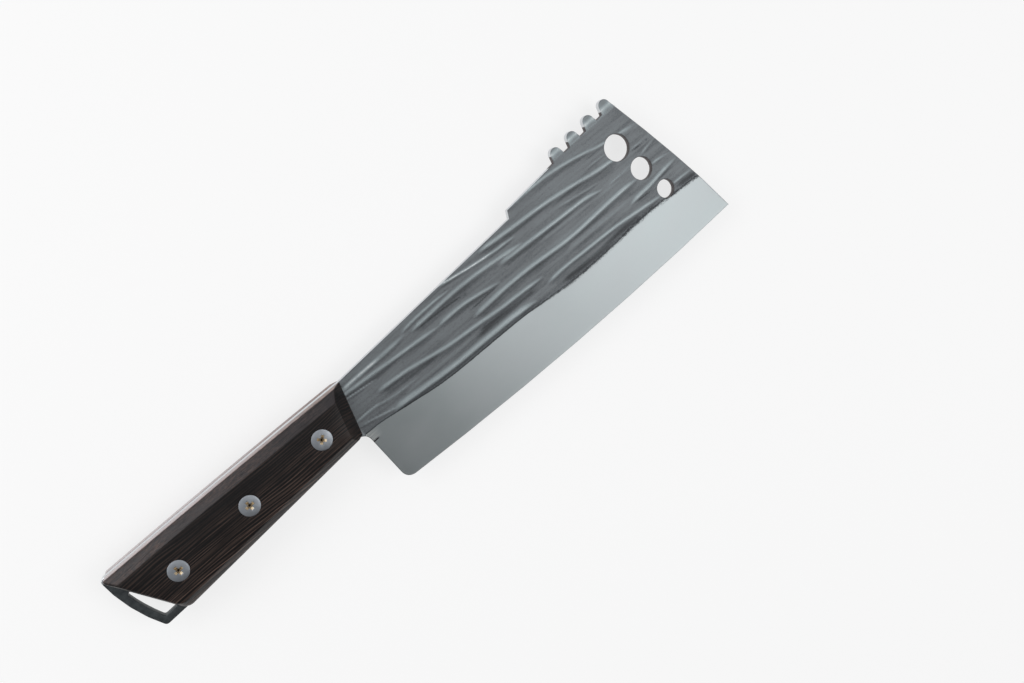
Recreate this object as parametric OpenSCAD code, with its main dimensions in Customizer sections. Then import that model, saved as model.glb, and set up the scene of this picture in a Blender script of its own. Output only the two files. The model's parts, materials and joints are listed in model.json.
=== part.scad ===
// Forged kitchen knife with a full tang, lying on its side with the back of its handle down.
// +X runs from the hanging loop to the tip, +Y to the spine and +Z out of the front face.
// The origin is under the middle of the knife, on the surface that it rests on.
// The outlines are drawn from the heel line, X = 0, and from the line of the screws, Y = 0.

/* [Blade] */
// Length from the heel to the lower corner of the tip
blade_len = 195.5; // [180:0.5:215]
// Thickness of the blade and its tang
blade_t = 4; // [3:0.5:5]
// Drop from the screw line to the cutting edge at the heel
heel_drop = 41; // [37:0.5:45]
// Drop from the screw line to the cutting edge at the tip
tip_drop = 50; // [46:0.5:55]
// Bulge of the cutting edge past a straight line
edge_bow = 2.8; // [1:0.2:4]
// Radius of the rounded heel corner
heel_r = 4.5; // [2:0.5:7]
// Radius of the inner corner where the heel meets the handle
neck_r = 4; // [1:0.5:6]
// Width of the ground bevel above the cutting edge
grind_w = 24; // [18:0.5:28]
// Thickness left at the cutting edge
edge_t = 0.4; // [0.2:0.1:0.8]
// How far the top of the tip lies behind its lower corner
tip_lean = 16.9; // [10:0.2:24]
// Bulge of the tip's end past a straight line
tip_bow = 1; // [0.5:0.1:2]

/* [Spine] */
// Height of the spine over the screw line at the handle
spine_rise = 12; // [11:0.5:13]
// Climb of the spine from the handle to its step
spine_climb = 3; // [1:0.5:5]
// Distance from the heel to the step in the spine
step_x = 108.5; // [95:0.5:115]
// Height of the step
step_h = 3.4; // [2:0.2:5]
// Length over which the step rises
step_run = 1.8; // [1:0.2:3]
// Climb of the spine from the step to the tip
tip_climb = 3.7; // [1:0.1:5]
// Number of scaling teeth
tooth_count = 4; // [2:1:5]
// Distance from tooth to tooth
tooth_pitch = 10.45; // [9:0.05:12]
// Height of a tooth over the spine
tooth_h = 5.2; // [4.5:0.1:7]
// Radius of a tooth's round crown
tooth_r = 2.8; // [2:0.1:3]
// How far each side of a tooth spreads towards its root
tooth_flare = 1; // [0.4:0.1:2]

/* [Holes] */
// Radius of the hole nearest the spine
upper_hole_r = 6.2; // [5:0.1:7]
// Radius of the middle hole
middle_hole_r = 5.3; // [4:0.1:6]
// Radius of the hole nearest the edge
lower_hole_r = 4.3; // [3:0.1:5]
// Height of the first hole over the screw line
hole_rise = 6.2; // [4:0.2:9]
// Drop from hole to hole
hole_drop = 14.7; // [13:0.1:16]
// Distance from the holes' centres to the end of the tip
hole_inset = 14.4; // [10:0.2:20]

/* [Handle] */
// Length of the scales along the screw line
scale_len = 110.7; // [104:0.1:120]
// Thickness of one scale
scale_t = 8; // [7:0.5:10]
// Distance from the heel line to the foot of the scales, on the screw line
scale_front = 2.6; // [1:0.2:4]
// Lean of the front of the scales
front_angle = 18; // [0:1:25]
// Lean of the butt of the scales
butt_angle = 27; // [15:1:32]
// Height of the spine side over the screw line at the butt
butt_rise = 17; // [15:0.5:20]
// Drop of the belly side under the screw line at the front
front_drop = 12; // [11:0.5:13]
// Drop of the belly side under the screw line at the butt
butt_drop = 15.5; // [14:0.5:18]
// Bulge of the spine side past a straight line
side_bow = 0.4; // [0.2:0.1:1.5]
// Radius of the spine corner at the butt
spine_corner_r = 1; // [0.5:0.5:3]
// Radius of the belly corner at the butt
belly_corner_r = 4; // [1:0.5:6]
// Width of the bevel along the spine side
spine_bevel_w = 4.4; // [2:0.2:6]
// Height of the bevel along the spine side
spine_bevel_h = 2.8; // [1:0.2:4]
// Width of the bevel along the belly side
belly_bevel_w = 4; // [2:0.2:6]
// Height of the bevel along the belly side
belly_bevel_h = 4; // [1:0.2:5]
// Length of the bevel at the front of a scale
front_bevel_w = 5.3; // [2:0.1:8]
// Width of the bevel at the butt
butt_bevel_w = 1.4; // [0.4:0.1:2.5]
// Height of the bevel at the butt
butt_bevel_h = 3; // [0.6:0.2:5]

/* [Hanging loop] */
// How far the steel stands out behind the scales at the spine side
tang_out = 1.2; // [0.4:0.2:4]
// How far the loop stands out behind the scales at the belly side
loop_out = 12; // [10:0.2:16]
// Width of the steel round the loop's opening
loop_band = 3.3; // [2.5:0.1:5]
// Bulge of the loop past a straight line
loop_bow = 2; // [1:0.2:4]
// Length of the loop's opening
loop_len = 17.6; // [12:0.1:19]
// Steel that shows between the scales and the opening
loop_lip = 0.5; // [0.2:0.1:1]
// Radius of the loop's outer corner
loop_corner_r = 1.8; // [1:0.2:3]
// Radius of the opening's corners
opening_r = 1.2; // [0.5:0.1:1.5]

/* [Screws] */
// Distance from the heel line back to the front screw
screw_x = 15; // [12:0.5:18]
// Distance from the front screw to the middle one
front_pitch = 39.3; // [35:0.1:41]
// Distance from the butt of the scales to the rear screw, on the screw line
rear_inset = 16.1; // [12:0.1:20]
// Radius of the screw and nut heads
head_r = 4.5; // [4:0.1:5]
// Thickness of the screw and nut heads
head_t = 1.6; // [1.2:0.1:2]
// Radius of a barrel nut's barrel
barrel_r = 3; // [2.6:0.1:3.4]
// Radius of a screw's shank
shank_r = 1.75; // [1.25:0.05:2]
// Length of the cross recess, from arm end to arm end
recess_len = 4; // [3:0.1:5]
// Width of an arm of the cross recess
recess_w = 0.9; // [0.6:0.1:1.2]
// Depth of the cross recess
recess_depth = 1; // [0.6:0.1:1.1]
// Radial clearance round the heads, barrels and shanks
fit_gap = 0.05; // [0.02:0.01:0.1]

/* [Hidden] */
$fn = 64;
overrun = 1;
edge_steps = 6;
bow_steps = 4;
corner_steps = 6;

// How far the barrels and shanks stop short of the far head
barrel_stop = 2;

// Turn of each cross recess
recess_turns = [42, 0, 4];
hole_radii = [upper_hole_r, middle_hole_r, lower_hole_r];
screw_places = [-screw_x, -screw_x - front_pitch, scale_front - scale_len + rear_inset];
handle_t = blade_t + 2 * scale_t;

// The point at share u of a shallow curve that bulges to the right of the way from a to b
function bow_point(a, b, sag, u) =
    a + u * (b - a) + 4 * sag * u * (1 - u) * [(b - a).y, -(b - a).x] / norm(b - a);

// The points that part such a curve into steps, without its ends
function bow(a, b, sag, steps) = [for (i = [1:steps - 1]) bow_point(a, b, sag, i / steps)];

function unit(v) = v / norm(v);

// Points of the arc of radius r that rounds the corner p between its neighbours a and b
function rounded(a, p, b, r) =
    let (
        back = unit(a - p),
        on = unit(b - p),
        half = acos(back * on) / 2,
        middle = p + unit(back + on) * r / sin(half),
        first = p + back * r / tan(half) - middle,
        last = p + on * r / tan(half) - middle,
        start = atan2(first.y, first.x),
        turn = (atan2(last.y, last.x) - start + 540) % 360 - 180
    )
    [for (i = [0:corner_steps]) let (t = start + turn * i / corner_steps) middle + r * [cos(t), sin(t)]];

// The point at height y on the slanted front or butt of the scales
function front_at(y) = [scale_front + y * tan(front_angle), y];
function butt_at(y) = [scale_front - scale_len - y * tan(butt_angle), y];

// Corners of the blade
heel = [0, -heel_drop];
tip_low = [blade_len, -tip_drop];
step_foot = [step_x, spine_rise + spine_climb];
step_top = step_foot + [step_run, step_h];
tip_top = [blade_len - tip_lean, step_top.y + tip_climb];
edge_points = bow(heel, tip_low, edge_bow, edge_steps);
tip_points = bow(tip_low, tip_top, tip_bow, bow_steps);
tip_angle = atan2(tip_lean, tip_top.y + tip_drop);

// Corners of the handle
front_spine = front_at(spine_rise);
front_belly = front_at(-front_drop);
butt_spine = butt_at(butt_rise);
butt_belly = butt_at(-butt_drop);
belly_way = (front_belly - butt_belly) / (front_belly.x - butt_belly.x);
neck = front_belly - front_belly.x * belly_way;
side_points = bow(front_spine, butt_spine, side_bow, bow_steps);
spine_side = concat([front_spine], side_points, [butt_spine]);

// Corners of the hanging loop and of its opening, whose far side follows the loop
loop_top = butt_spine + tang_out * unit(butt_spine - side_points[bow_steps - 2]);
loop_low = butt_belly - [loop_out, 0];
loop_points = bow(loop_top, loop_low, loop_bow, bow_steps);
low_height = loop_band - butt_drop;
top_height = low_height + loop_len;
opening_low = butt_at(low_height) - [loop_lip / cos(butt_angle), 0];
opening_top = butt_at(top_height) - [loop_lip / cos(butt_angle), 0];
function opening_far(u) =
    let (y = top_height + u * (low_height - top_height), share = (butt_rise - y) / (butt_rise + butt_drop))
    [bow_point(loop_top, loop_low, loop_bow, share).x + loop_band, y];
opening_points = [for (i = [0:bow_steps]) opening_far(i / bow_steps)];

function spine_at(x) =
    step_top.y + (x - step_top.x) * (tip_top.y - step_top.y) / (tip_top.x - step_top.x);
// The last tooth's crown touches the line of the tip
last_tooth_x = tip_top.x - tooth_r / cos(tip_angle) - (tooth_h - tooth_r) * tan(tip_angle);
function tooth_x(i) = last_tooth_x - (tooth_count - 1 - i) * tooth_pitch;
function tooth_middle(i) = [tooth_x(i), spine_at(tooth_x(i)) + tooth_h - tooth_r];

// The steel's whole outline, without its teeth
steel_points = concat(
    rounded(neck, heel, edge_points[0], heel_r),
    edge_points,
    [tip_low],
    tip_points,
    [tip_top, step_top, step_foot, front_spine],
    side_points,
    rounded(side_points[bow_steps - 2], loop_top, loop_points[0], loop_corner_r),
    loop_points,
    rounded(loop_points[bow_steps - 2], loop_low, butt_belly, loop_corner_r),
    [butt_belly],
    rounded(butt_belly, neck, heel, neck_r)
);
scale_points = concat(
    [front_belly, front_spine],
    side_points,
    rounded(side_points[bow_steps - 2], butt_spine, butt_belly, spine_corner_r),
    rounded(butt_spine, butt_belly, front_belly, belly_corner_r)
);
opening_outline = concat(
    rounded(opening_points[bow_steps], opening_low, opening_top, opening_r),
    rounded(opening_low, opening_top, opening_points[0], opening_r),
    rounded(opening_top, opening_points[0], opening_points[1], opening_r),
    [for (i = [1:bow_steps - 1]) opening_points[i]],
    rounded(opening_points[bow_steps - 1], opening_points[bow_steps], opening_low, opening_r)
);

// The shift that puts the origin under the middle of the knife
crown_y = tooth_middle(tooth_count - 1).y + tooth_r;
low_y = min([for (p = steel_points) p.y]);
low_x = min([for (p = steel_points) p.x]);
origin_shift = [-(low_x + blade_len) / 2, -(low_y + crown_y) / 2, handle_t / 2];

// Cuts a bevel of width w and height h, under z = top, along the line from a to b.
// The outline that is cut lies to the left of the way from a to b.
module bevel_cut(a, b, w, h, top) {
    run = norm(b - a);
    translate([a.x, a.y, top])
        rotate([0, 0, atan2(b.y - a.y, b.x - a.x)])
            translate([-run, 0, 0])
                rotate([90, 0, 90])
                    linear_extrude(3 * run)
                        polygon([
                            [-overrun, -h - overrun * h / w],
                            [w + overrun, overrun * h / w],
                            [-overrun, overrun * h / w]
                        ]);
}

module tooth(i) {
    foot = spine_at(tooth_x(i)) - overrun;
    translate(tooth_middle(i))
        circle(r = tooth_r);
    polygon([
        [tooth_x(i) - tooth_r - tooth_flare, foot],
        [tooth_x(i) + tooth_r + tooth_flare, foot],
        [tooth_x(i) + tooth_r, tooth_middle(i).y],
        [tooth_x(i) - tooth_r, tooth_middle(i).y]
    ]);
}

module steel_outline() {
    difference() {
        union() {
            polygon(steel_points);
            for (i = [0:tooth_count - 1])
                tooth(i);
        }
        // The teeth end at the line of the tip
        translate(tip_top)
            rotate(tip_angle)
                square([tooth_pitch, tooth_h + overrun]);
        polygon(opening_outline);
    }
}

// The ground bevel of one face follows the bowed edge in short flats
module grind() {
    line = concat([heel], edge_points, [tip_low]);
    for (i = [0:edge_steps - 1])
        bevel_cut(line[i], line[i + 1], grind_w, (blade_t - edge_t) / 2, blade_t / 2);
}

module blade() {
    color([0.42, 0.42, 0.44])
        translate(origin_shift)
            difference() {
                translate([0, 0, -blade_t / 2])
                    linear_extrude(blade_t)
                        steel_outline();
                grind();
                mirror([0, 0, 1])
                    grind();
                for (i = [0:len(hole_radii) - 1])
                    blade_hole(i);
                for (x = screw_places)
                    translate([x, 0, -blade_t])
                        cylinder(r = barrel_r + fit_gap, h = 2 * blade_t);
            }
}

// The holes' centres keep one distance from the straight line of the tip's end
module blade_hole(i) {
    y = hole_rise - i * hole_drop;
    x = blade_len - (y + tip_drop) * tan(tip_angle) - hole_inset;
    translate([x, y, -blade_t])
        cylinder(r = hole_radii[i], h = 2 * blade_t);
}

// One scale, with its inner face at z = 0 and its outer face at z = scale_t
module scale_body() {
    difference() {
        linear_extrude(scale_t)
            polygon(scale_points);
        for (i = [0:bow_steps - 1])
            bevel_cut(spine_side[i], spine_side[i + 1], spine_bevel_w, spine_bevel_h, scale_t);
        bevel_cut(butt_spine, butt_belly, butt_bevel_w, butt_bevel_h, scale_t);
        bevel_cut(butt_belly, front_belly, belly_bevel_w, belly_bevel_h, scale_t);
        bevel_cut(front_belly, front_spine, front_bevel_w, scale_t, scale_t);
        for (x = screw_places) {
            translate([x, 0, -overrun])
                cylinder(r = barrel_r + fit_gap, h = scale_t + 2 * overrun);
            translate([x, 0, scale_t - head_t])
                cylinder(r = head_r + fit_gap, h = head_t + overrun);
        }
    }
}

module front_scale() {
    color([0.16, 0.11, 0.09])
        translate(origin_shift + [0, 0, blade_t / 2])
            scale_body();
}

module back_scale() {
    color([0.2, 0.14, 0.11])
        translate(origin_shift - [0, 0, blade_t / 2])
            mirror([0, 0, 1])
                scale_body();
}

// A cross-recess screw, with its head flush in the front scale
module screw(i) {
    color([0.62, 0.64, 0.67])
        translate(origin_shift + [screw_places[i], 0, handle_t / 2])
            difference() {
                union() {
                    translate([0, 0, -head_t])
                        cylinder(r = head_r, h = head_t);
                    translate([0, 0, head_t + barrel_stop - handle_t])
                        cylinder(r = shank_r, h = handle_t - 2 * head_t - barrel_stop + overrun / 2);
                }
                for (turn = [0, 90])
                    rotate(recess_turns[i] + turn)
                        translate([-recess_len / 2, -recess_w / 2, -recess_depth])
                            cube([recess_len, recess_w, recess_depth + overrun]);
            }
}

// A barrel nut, with its head flush in the back scale
module barrel_nut(i) {
    barrel_len = handle_t - 2 * head_t - barrel_stop;
    color([0.56, 0.58, 0.6])
        translate(origin_shift + [screw_places[i], 0, -handle_t / 2])
            difference() {
                union() {
                    cylinder(r = head_r, h = head_t);
                    cylinder(r = barrel_r, h = head_t + barrel_len);
                }
                translate([0, 0, head_t])
                    cylinder(r = shank_r + fit_gap, h = barrel_len + overrun);
            }
}

blade();
front_scale();
back_scale();
screw(0);  // front_screw
screw(1);  // middle_screw
screw(2);  // rear_screw
barrel_nut(0);  // front_nut
barrel_nut(1);  // middle_nut
barrel_nut(2);  // rear_nut
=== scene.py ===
"""Kitchen knife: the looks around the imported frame. Lengths are in metres unless a name ends in mm."""
import json
import math

import bmesh
import bpy
import numpy as np
from mathutils import Matrix, Vector
from mathutils.geometry import delaunay_2d_cdt
from mathutils.kdtree import KDTree

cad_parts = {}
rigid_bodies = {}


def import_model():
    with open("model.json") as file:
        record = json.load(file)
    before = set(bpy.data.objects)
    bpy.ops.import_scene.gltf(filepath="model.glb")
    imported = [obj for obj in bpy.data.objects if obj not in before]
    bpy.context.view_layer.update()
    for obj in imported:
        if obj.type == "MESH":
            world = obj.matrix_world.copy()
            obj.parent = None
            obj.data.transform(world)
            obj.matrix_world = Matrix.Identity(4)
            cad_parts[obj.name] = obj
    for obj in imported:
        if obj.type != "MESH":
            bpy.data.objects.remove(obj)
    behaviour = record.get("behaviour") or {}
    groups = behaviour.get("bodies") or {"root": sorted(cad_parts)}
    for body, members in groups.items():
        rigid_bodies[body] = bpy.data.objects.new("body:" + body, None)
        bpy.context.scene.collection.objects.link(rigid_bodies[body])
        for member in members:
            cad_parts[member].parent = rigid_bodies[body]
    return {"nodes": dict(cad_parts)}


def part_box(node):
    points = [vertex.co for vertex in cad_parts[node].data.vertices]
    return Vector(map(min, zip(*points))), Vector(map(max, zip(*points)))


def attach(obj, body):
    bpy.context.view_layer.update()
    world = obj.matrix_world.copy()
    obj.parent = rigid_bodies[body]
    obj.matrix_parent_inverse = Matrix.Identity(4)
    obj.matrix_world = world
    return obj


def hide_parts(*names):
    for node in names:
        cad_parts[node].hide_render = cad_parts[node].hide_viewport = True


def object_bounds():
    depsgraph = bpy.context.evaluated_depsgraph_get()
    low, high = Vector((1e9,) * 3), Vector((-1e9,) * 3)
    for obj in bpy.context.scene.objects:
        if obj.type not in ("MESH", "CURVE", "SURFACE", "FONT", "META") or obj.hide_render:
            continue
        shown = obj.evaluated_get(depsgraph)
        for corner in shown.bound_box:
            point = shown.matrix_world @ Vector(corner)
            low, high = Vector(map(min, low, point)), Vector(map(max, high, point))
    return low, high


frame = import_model()
cad_low, cad_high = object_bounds()

MM = 0.001

# Places are given from the heel line and the line of the screws, as the knife is drawn.
# The frame gives where these two lines are.
blade_low, blade_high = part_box("blade")
scale_low, scale_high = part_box("front_scale")
screw_nodes = ["front_screw", "middle_screw", "rear_screw"]
nut_nodes = ["front_nut", "middle_nut", "rear_nut"]
screw_middles = [sum(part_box(n), Vector()) / 2 for n in screw_nodes]
blade_len_mm = 195.5
heel_x = blade_high.x - blade_len_mm * MM
screw_y = screw_middles[0].y
mid_z = (blade_low.z + blade_high.z) / 2
half_steel = (blade_high.z - blade_low.z) / 2
weld_gap = 0.001 * MM

# ---- outlines


def outlines(node, z):
    """The closed outlines of a CAD node at height z, as arrays of points, the longest first."""
    bm = bmesh.new()
    bm.from_mesh(frame["nodes"][node].data)
    bmesh.ops.remove_doubles(bm, verts=bm.verts, dist=weld_gap)
    everything = bm.verts[:] + bm.edges[:] + bm.faces[:]
    cut = bmesh.ops.bisect_plane(
        bm, geom=everything, plane_co=(0, 0, z), plane_no=(0, 0, 1), clear_inner=True, clear_outer=True)
    links = {}
    for edge in cut["geom_cut"]:
        if isinstance(edge, bmesh.types.BMEdge):
            a, b = edge.verts
            links.setdefault(a, []).append(b)
            links.setdefault(b, []).append(a)
    loops = []
    while links:
        start = next(iter(links))
        loop, last, here = [start], None, start
        while True:
            onward = [v for v in links[here] if v is not last]
            if not onward or onward[0] is start:
                break
            last, here = here, onward[0]
            loop.append(here)
        loops.append(np.array([v.co.xy for v in loop]))
        for v in loop:
            del links[v]
    bm.free()
    return sorted(loops, key=lambda p: -np.ptp(p[:, 0]))


def signed_area(points):
    x, y = points[:, 0], points[:, 1]
    return 0.5 * np.sum(x * np.roll(y, -1) - y * np.roll(x, -1))


def in_mm(points):
    """Points as x and y in mm, from the heel line and the screw line."""
    return (points[:, 0] - heel_x) / MM, (points[:, 1] - screw_y) / MM


def steps_at(points):
    """The steps of an outline to each point and on from it."""
    return points - np.roll(points, 1, 0), np.roll(points, -1, 0) - points


def turns_at(points):
    """How far the outline turns at each point, in radians."""
    back, on = steps_at(points)
    cross = back[:, 0] * on[:, 1] - back[:, 1] * on[:, 0]
    return np.arctan2(cross, np.sum(back * on, 1))


def resampled(points, spacing, sharp=0.55, passes=3):
    """An outline with even spacing, smoothed between its sharp corners."""
    keep = np.linalg.norm(points - np.roll(points, 1, 0), axis=1) > weld_gap
    points = points[keep]
    corner = np.abs(turns_at(points)) > sharp
    out, fixed = [], []
    for i, p in enumerate(points):
        q = points[(i + 1) % len(points)]
        steps = max(1, round(np.linalg.norm(q - p) / spacing))
        for k in range(steps):
            out.append(p + (q - p) * k / steps)
            fixed.append(bool(corner[i]) and k == 0)
    out, fixed = np.array(out), np.array(fixed)[:, None]
    for _ in range(passes):
        even = (np.roll(out, 1, 0) + 2 * out + np.roll(out, -1, 0)) / 4
        out = np.where(fixed, out, even)
    return out


def inward(points):
    """Unit vectors from an outline's points into the material, which lies to the left."""
    back, on = steps_at(points)
    back /= np.linalg.norm(back, axis=1)[:, None]
    on /= np.linalg.norm(on, axis=1)[:, None]
    normal = np.stack([-(back + on)[:, 1], (back + on)[:, 0]], 1)
    length = np.linalg.norm(normal, axis=1)[:, None]
    normal /= length
    return normal / np.clip(length / 2, 0.5, 1)


def inside(points, loops):
    """Which points lie inside the outlines, by the even and odd rule."""
    count = np.zeros(len(points), int)
    for loop in loops:
        a, b = loop, np.roll(loop, -1, 0)
        for (ax, ay), (bx, by) in zip(a, b):
            if ay == by:
                continue
            crosses = (points[:, 1] < ay) != (points[:, 1] < by)
            x = ax + (points[:, 1] - ay) * (bx - ax) / (by - ay)
            count += crosses & (points[:, 0] < x)
    return count % 2 == 1


def placed(name, data):
    obj = bpy.data.objects.new(name, data)
    bpy.context.scene.collection.objects.link(obj)
    return obj


def mesh_object(name, verts, faces, smooth_angle=35):
    mesh = bpy.data.meshes.new(name)
    mesh.from_pydata([tuple(v) for v in verts], [], [tuple(f) for f in faces])
    mesh.validate()
    mesh.shade_smooth()
    mesh.set_sharp_from_angle(angle=math.radians(smooth_angle))
    return placed(name, mesh)


def point_attribute(obj, name, values):
    attribute = obj.data.attributes.new(name, "FLOAT", "POINT")
    attribute.data.foreach_set("value", np.asarray(values, np.float32))


def between(first, second, turned):
    """Quads between two closed rows of point numbers."""
    quads = []
    for i in range(len(first)):
        j = (i + 1) % len(first)
        quads.append((first[i], first[j], second[j], second[i])[::-1 if turned else 1])
    return quads


def filled(rings, more=()):
    """Triangles between closed rings and over more points inside: the places, the triangles, and the number
    of each given point's place."""
    edges, start = [], 0
    for ring in rings:
        edges += [(start + i, start + (i + 1) % len(ring)) for i in range(len(ring))]
        start += len(ring)
    flat = [Vector(p) for p in np.concatenate([*rings, *more]) / MM]
    coords, _, triangles, origins, _, _ = delaunay_2d_cdt(flat, edges, [], 0, 1e-6)
    coords = np.array([c[:] for c in coords]) * MM
    owner = {k: i for i, found in enumerate(origins) for k in found}
    ends = np.cumsum([len(ring) for ring in rings])
    rings = [coords[[owner[k] for k in range(end - len(ring), end)]] for ring, end in zip(rings, ends)]
    triangles = np.array([t for t in triangles if len(t) == 3])
    return coords, triangles[inside(coords[triangles].mean(1), rings)], owner


def drop_loose(obj):
    """Takes out stray points and slivers, and turns every face outwards."""
    bm = bmesh.new()
    bm.from_mesh(obj.data)
    bmesh.ops.delete(bm, geom=[v for v in bm.verts if not v.link_faces], context="VERTS")
    bmesh.ops.dissolve_degenerate(bm, edges=bm.edges, dist=2 * weld_gap)
    bmesh.ops.recalc_face_normals(bm, faces=bm.faces)
    bm.to_mesh(obj.data)
    bm.free()


def smoothstep(x, low, high):
    t = np.clip((x - low) / (high - low), 0, 1)
    return t * t * (3 - 2 * t)


def swell(share, width):
    """A round bump: 1 in the middle, 0 one width away."""
    t = np.clip(np.abs(share) / width, 0, 1)
    return 0.5 * (1 + np.cos(np.pi * t))


def along(points_mm, x):
    """A smooth line through given points, and how far x is along it, from 0 to 1."""
    p = np.array(points_mm, float)
    fine = np.linspace(p[0, 0], p[-1, 0], 12 * len(p))
    y = np.interp(fine, p[:, 0], p[:, 1])
    for _ in range(14):
        y[1:-1] = (y[:-2] + 2 * y[1:-1] + y[2:]) / 4
    return np.interp(x, fine, y), (x - p[0, 0]) / (p[-1, 0] - p[0, 0])


def tapered(t, points_mm, run_mm):
    """How far a line's ends are off, from 0 at an end to 1 one run inside it."""
    return np.clip(t * (points_mm[-1][0] - points_mm[0][0]) / run_mm, 0, 1)


# ---- the blade's faces

# Where the satin ground bevel ends, as heights in mm under the screw line at distances from the heel
grind_line_mm = ((-8, -13.2), (0, -13.2), (7.4, -13.6), (14, -14.8), (20, -16.0), (25, -16.9), (30, -17.9),
                 (35, -18.8), (40, -19.5), (47, -20.2), (57, -20.8), (70, -21.4), (80, -21.9), (88, -22.5),
                 (96, -23.5), (104, -24.5), (112, -25.4), (120, -26.0), (130, -26.2), (140, -26.1),
                 (150, -25.7), (160, -25.8), (170, -26.5), (180, -27.9), (190, -28.9), (200, -29.8))

# Forged ridges: crest points, how wide the spine-side slope and the edge-side slope are, and the height share
ridges_mm = (
    (((43, 6.6), (50, 6.8), (60, 7.0), (70, 6.9), (80, 6.2), (90, 5.0), (100, 3.7), (107, 2.9)), 1.9, 2.6,
      1.0),
    (((91, 2.6), (100, 1.7), (110, 0.9), (120, 0.0), (130, -0.8), (140, -1.6), (145, -2.4), (150.5, -3.7)),
      1.9, 2.8, 1.0),
    (((64, 13.6), (72, 12.1), (80, 10.6), (88, 9.2), (96, 8.3), (106, 7.5)), 1.5, 1.2, 0.9),
    (((88, 12.7), (100, 11.4), (110, 10.4), (120, 9.6), (130, 8.2), (138, 7.0), (145, 5.6), (150, 4.6),
      (156, 3.7), (163, 3.0), (168, 2.2)), 2.0, 3.0, 1.0),
    (((108, 18.4), (120, 18.6), (133, 17.9), (140, 17.0), (145, 16.1), (150, 15.0), (155, 13.7),
      (160, 12.3), (165, 11.2), (171, 10.2), (183, 8.6)), 1.5, 1.9, 0.8),
    (((150, 8.4), (157, 8.0), (163, 7.4)), 0.6, 1.0, 0.5),
    (((128, 4.2), (136, 2.6), (145, 0.9), (153, -0.3)), 1.0, 1.2, 0.45),
    (((0, 6.0), (6, 5.6), (15, 4.6), (25, 3.5), (35, 2.3), (42, 1.5), (49, 0.8), (55, 0.3)), 1.7, 2.4,
      0.95),
    (((53, 0.4), (58, 0.4), (65, 0.3), (70, -0.2), (75, -1.1), (80, -2.1), (84, -2.8), (88, -3.4)), 1.8,
      2.0, 1.0),
    (((0, 4.6), (4, 3.9), (10, 2.9), (19, 1.6)), 0.6, 0.9, 0.6),
    (((2, 7.3), (8, 7.4), (14, 7.4), (20, 7.4), (27, 7.2), (34, 7.3), (41, 8.0)), 2.2, 1.6, 0.8),
    (((38, 9.0), (45, 9.6), (52, 9.9), (60, 9.8), (70, 9.2)), 1.1, 1.0, 0.7),
    (((15, -2.9), (22, -3.7), (30, -4.8), (37, -6.1), (42, -7.2), (50, -8.9), (57, -9.8), (65, -10.7),
      (72, -11.6), (80, -12.7), (88, -13.3), (95, -14.0), (104, -14.8)), 1.9, 3.4, 1.0),
    (((-1, -6.6), (5, -6.7), (11, -7.1), (18, -8.9), (26, -9.8), (34, -10.2)), 1.1, 1.6, 0.5),
    (((-1, -8.9), (5, -10.1), (10, -11.6), (14, -12.8), (20, -14.4), (26, -15.2)), 0.9, 1.4, 0.6),
    (((15, -14.3), (22, -14.8), (30, -15.8), (40, -17.1), (50, -18.1), (60, -18.6), (70, -19.1),
      (80, -19.6), (90, -20.6), (95, -21.2)), 3.0, 1.5, 1.0),
    (((68, -7.2), (75, -7.3), (85, -7.3), (95, -7.6), (103, -8.1), (112, -9.2), (120, -10.2), (130, -10.7),
      (140, -10.5), (150, -10.4), (160, -10.6), (167, -10.9)), 2.2, 3.2, 1.0),
    (((103, -18.5), (110, -18.5), (118, -18.7), (126, -19.4), (135, -19.9), (145, -20.8), (155, -22.2),
      (165, -23.6), (171, -24.4)), 1.7, 3.6, 1.0),
    (((156.5, -17.9), (163, -17.7), (170, -17.6), (178, -16.7), (188, -15.9)), 2.3, 1.2, 1.0),
    (((172, 8.9), (178, 8.9), (184, 8.7)), 0.9, 1.4, 0.6),
    (((172, 1.2), (177, 0.9), (181, 0.7)), 0.9, 0.7, 0.7),
    (((174, -3.9), (179, -2.9), (186, -2.1)), 1.2, 1.6, 0.7),
    (((174, -10.3), (180, -10.7), (187.5, -12.0)), 1.2, 1.6, 0.85),
    (((152.5, -4.3), (158, -4.1), (165, -4.4)), 0.6, 0.8, 0.5),
    (((177, -24.0), (184, -24.4), (192, -25.0)), 1.2, 1.6, 0.8),
    (((112, -2.4), (120, -3.0), (135, -4.0), (146, -5.0), (160, -5.8)), 1.4, 1.2, 0.3),
    (((120, -13.6), (135, -14.6), (150, -15.3), (160, -15.2)), 2.4, 2.0, 0.3),
    (((24, -11.9), (40, -13.0), (55, -13.6), (66, -13.9)), 1.6, 1.4, 0.3),
)

# Forged creases, in the same way, with one width and a depth share
creases_mm = (
    (((156.5, -18.1), (163, -18.8), (171, -19.4)), 0.5, 0.9),
    (((170, 0.6), (176, 0.1), (181, -0.1)), 0.55, 1.0),
    (((42.6, 6.4), (52, 5.6), (60, 5.0), (67, 4.2), (72, 3.4)), 0.55, 1.0),
    (((150, 11.6), (163, 11.0)), 0.5, 0.5),
    (((68, -3.7), (88, -3.7)), 0.5, 0.9),
    (((64, -12.9), (75, -14.6), (85, -15.6), (94, -15.9)), 1.5, 0.7),
    (((86, 8.2), (96, 7.4), (106, 6.9)), 0.6, 0.7),
    (((62, 10.9), (70, 9.9)), 0.5, 0.6),
    (((108, -22.6), (120, -23.6), (132, -24.0), (146, -23.6), (160, -24.6)), 2.4, 0.7),
    (((178, -26.1), (194, -27.1)), 1.5, 0.9),
    (((62, -14.7), (78, -15.5), (100, -16.4)), 1.6, 0.6),
)
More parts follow.
